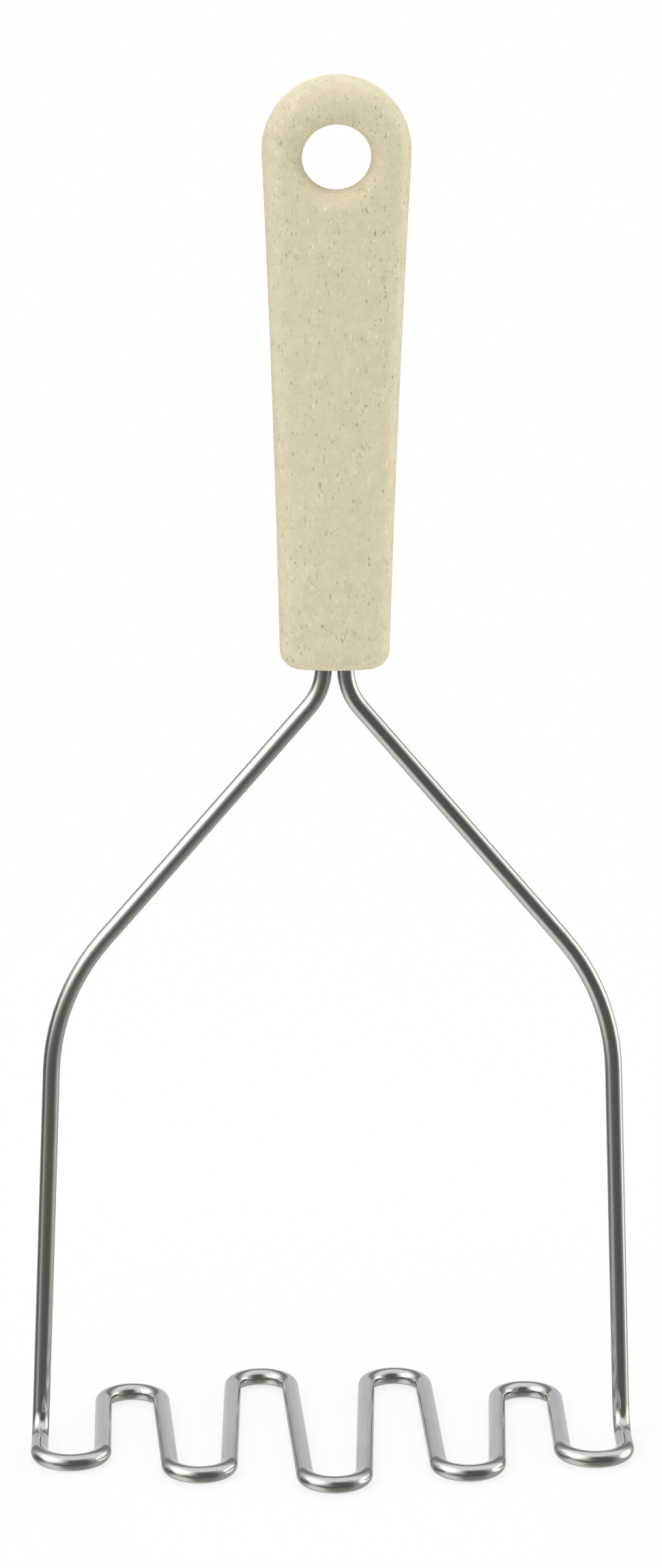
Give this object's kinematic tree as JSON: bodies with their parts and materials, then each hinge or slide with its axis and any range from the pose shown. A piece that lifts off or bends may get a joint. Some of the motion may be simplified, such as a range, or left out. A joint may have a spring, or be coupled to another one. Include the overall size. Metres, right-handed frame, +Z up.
{
  "type": "potato masher",
  "caption": "Hand potato masher: one bent steel wire forms a splayed frame and a flat wavy mashing head, moulded into a tapered speckled plastic handle with a hang hole.",
  "frame": {"origin": "on the plane that the head stands on, under the middle of the head", "axes": "+Z up along the handle, +X across the head to the right, -Y towards the front loops and the viewer"},
  "size_m": [0.1068, 0.056, 0.2441],
  "materials": {
    "fibre_plastic": "moulded plastic filled with plant fibre, pale beige with small dark and pale flecks, satin",
    "polished_steel": "drawn round stainless wire, polished bright"
  },
  "bodies": {
    "root": {"handle": "fibre_plastic", "masher_wire": "polished_steel"}
  },
  "joints": []
}
